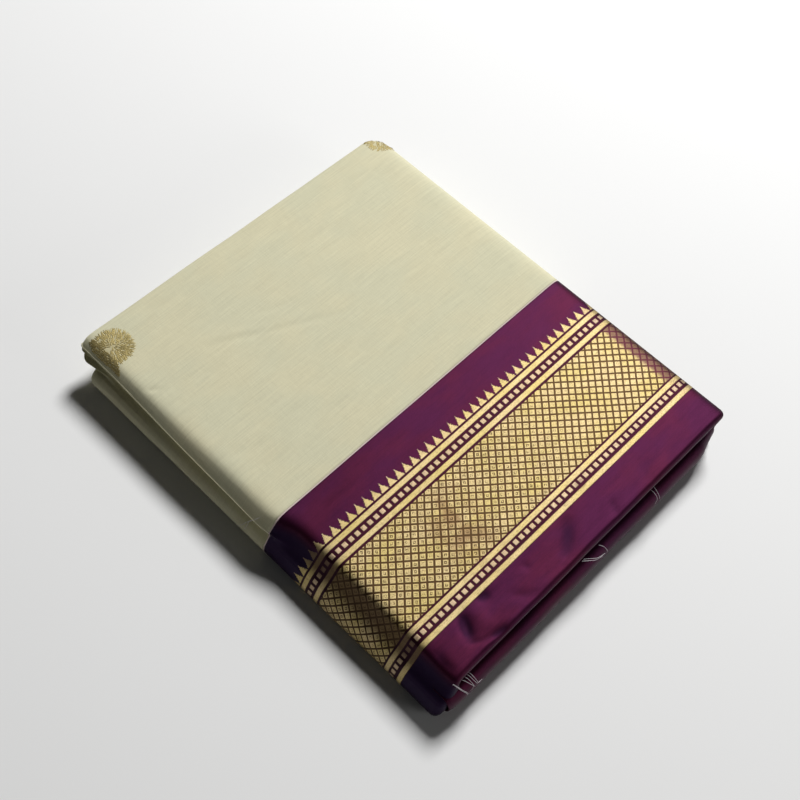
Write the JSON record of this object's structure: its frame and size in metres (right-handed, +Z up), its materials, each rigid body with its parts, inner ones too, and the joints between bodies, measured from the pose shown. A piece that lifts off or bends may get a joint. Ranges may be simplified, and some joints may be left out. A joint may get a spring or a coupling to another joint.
{
  "type": "folded saree",
  "caption": "Long woven cotton cloth folded flat into a soft slab, plain cream body with a wide patterned border along one long edge, laid on a flat surface.",
  "frame": {"origin": "under the middle of the folded slab, on the surface that it rests on", "axes": "+Z up; +X along the border, from the closed spine to the open side; +Y from the border edge to the plain edge of the body"},
  "size_m": [0.244, 0.2972, 0.032],
  "materials": {
    "body_cloth": "plain woven cotton, pale cream, matt, with small metallic gold motifs",
    "border_cloth": "closely woven dark purple with bands of metallic gold thread",
    "layer_edges": "folded edges of the same cream and purple cloth, matt"
  },
  "bodies": {
    "root": {"body_wrap": "body_cloth", "border_wrap": "border_cloth", "border_low_fold": "border_cloth", "hidden_layers": "layer_edges"}
  },
  "joints": []
}
